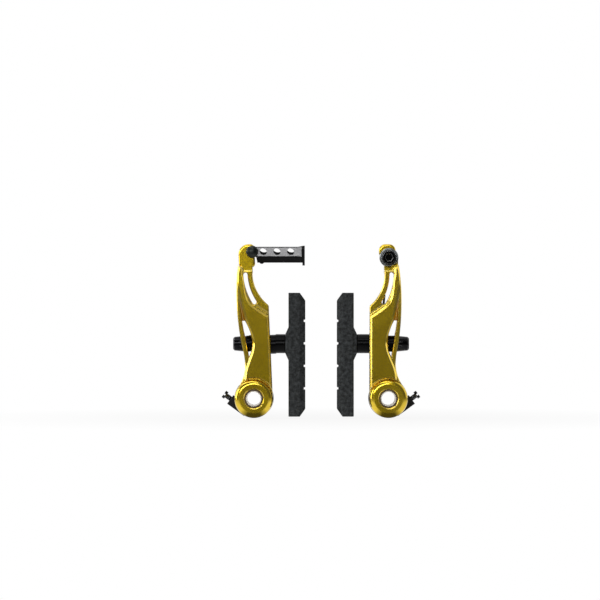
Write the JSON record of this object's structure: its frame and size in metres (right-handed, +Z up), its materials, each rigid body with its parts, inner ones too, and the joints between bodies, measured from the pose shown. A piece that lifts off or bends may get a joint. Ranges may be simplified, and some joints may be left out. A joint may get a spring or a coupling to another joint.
{
  "type": "linear-pull bicycle brake calliper",
  "caption": "Gold linear-pull bicycle brake: mirrored slotted arms on pivot bushes with return springs, long black pads on ball washers, hinged cable link and cable anchor",
  "frame": {"origin": "midway between the two pivot axes, on the plane where the rear ends of the pivot bushes meet the frame's brake bosses", "axes": "+Y runs along the pivots from the front of the brake to the frame, +Z up the arms to the cable, +X from the arm with the cable link to the arm with the cable anchor; seen from the front the link is on the left"},
  "size_m": [0.119, 0.0266, 0.1036],
  "materials": {
    "gold_anodised": "gold anodised, satin",
    "pad_rubber": "charcoal brake rubber, matte",
    "black_hardware": "black oxide, satin",
    "link_steel": "dark grey steel sheet, satin",
    "bright_steel": "bright turned steel",
    "spring_steel": "black spring wire",
    "sleeve_plastic": "bronze-brown bearing plastic",
    "holder_plastic": "black moulded plastic",
    "anchor_steel": "dark plated steel"
  },
  "bodies": {
    "frame_side": {"left_pivot_bush": "bright_steel", "right_pivot_bush": "bright_steel", "left_spring_holder": "holder_plastic", "right_spring_holder": "holder_plastic"},
    "left_arm": {"left_arm": "gold_anodised", "left_bearing_sleeve": "sleeve_plastic", "left_return_spring": "spring_steel", "left_spring_peg": "bright_steel", "left_inner_cup_washer": "black_hardware", "left_inner_ball_washer": "black_hardware", "left_outer_cup_washer": "black_hardware", "left_outer_ball_washer": "black_hardware", "left_pad_nut": "black_hardware", "link_pin": "black_hardware", "link_clip": "spring_steel"},
    "right_arm": {"right_arm": "gold_anodised", "right_bearing_sleeve": "sleeve_plastic", "right_return_spring": "spring_steel", "right_spring_peg": "bright_steel", "right_inner_cup_washer": "black_hardware", "right_inner_ball_washer": "black_hardware", "right_outer_cup_washer": "black_hardware", "right_outer_ball_washer": "black_hardware", "right_pad_nut": "black_hardware", "anchor_washer": "anchor_steel", "anchor_bolt": "black_hardware"},
    "left_pad": {"left_brake_pad": "pad_rubber", "left_pad_stud": "black_hardware"},
    "right_pad": {"right_brake_pad": "pad_rubber", "right_pad_stud": "black_hardware"},
    "cable_link": {"cable_link": "link_steel"},
    "left_tension_screw": {"left_tension_screw": "black_hardware"},
    "right_tension_screw": {"right_tension_screw": "black_hardware"}
  },
  "joints": [
    {"name": "left_arm_pivot", "type": "hinge", "parent": "frame_side", "child": "left_arm", "pos_m": [-0.04, 0, 0], "axis": [0, 1, 0], "range_deg": [-30, 9], "stiffness_Nm_per_rad": 0.8, "deforming": ["left_return_spring"]},
    {"name": "right_arm_pivot", "type": "hinge", "parent": "frame_side", "child": "right_arm", "pos_m": [0.04, 0, 0], "axis": [0, -1, 0], "range_deg": [-30, 9], "stiffness_Nm_per_rad": 0.8, "deforming": ["right_return_spring"]},
    {"name": "cable_link_pivot", "type": "hinge", "parent": "left_arm", "child": "cable_link", "pos_m": [-0.04101, -0.0137, 0.08733], "axis": [0, -1, 0], "range_deg": [-10, 75]},
    {"name": "left_pad_turn", "type": "hinge", "parent": "left_arm", "child": "left_pad", "pos_m": [-0.025, -0.0137, 0.0326], "axis": [1, 0, 0], "range_deg": [-90, 90]},
    {"name": "right_pad_turn", "type": "hinge", "parent": "right_arm", "child": "right_pad", "pos_m": [0.025, -0.0137, 0.0326], "axis": [1, 0, 0], "range_deg": [-90, 90]},
    {"name": "left_tension_screw_turn", "type": "hinge", "parent": "frame_side", "child": "left_tension_screw", "pos_m": [-0.05403, -0.003, -0.00043], "axis": [-0.809, 0, 0.5878], "range_deg": [-720, 720]},
    {"name": "right_tension_screw_turn", "type": "hinge", "parent": "frame_side", "child": "right_tension_screw", "pos_m": [0.05403, -0.003, -0.00043], "axis": [0.809, 0, 0.5878], "range_deg": [-720, 720]}
  ]
}
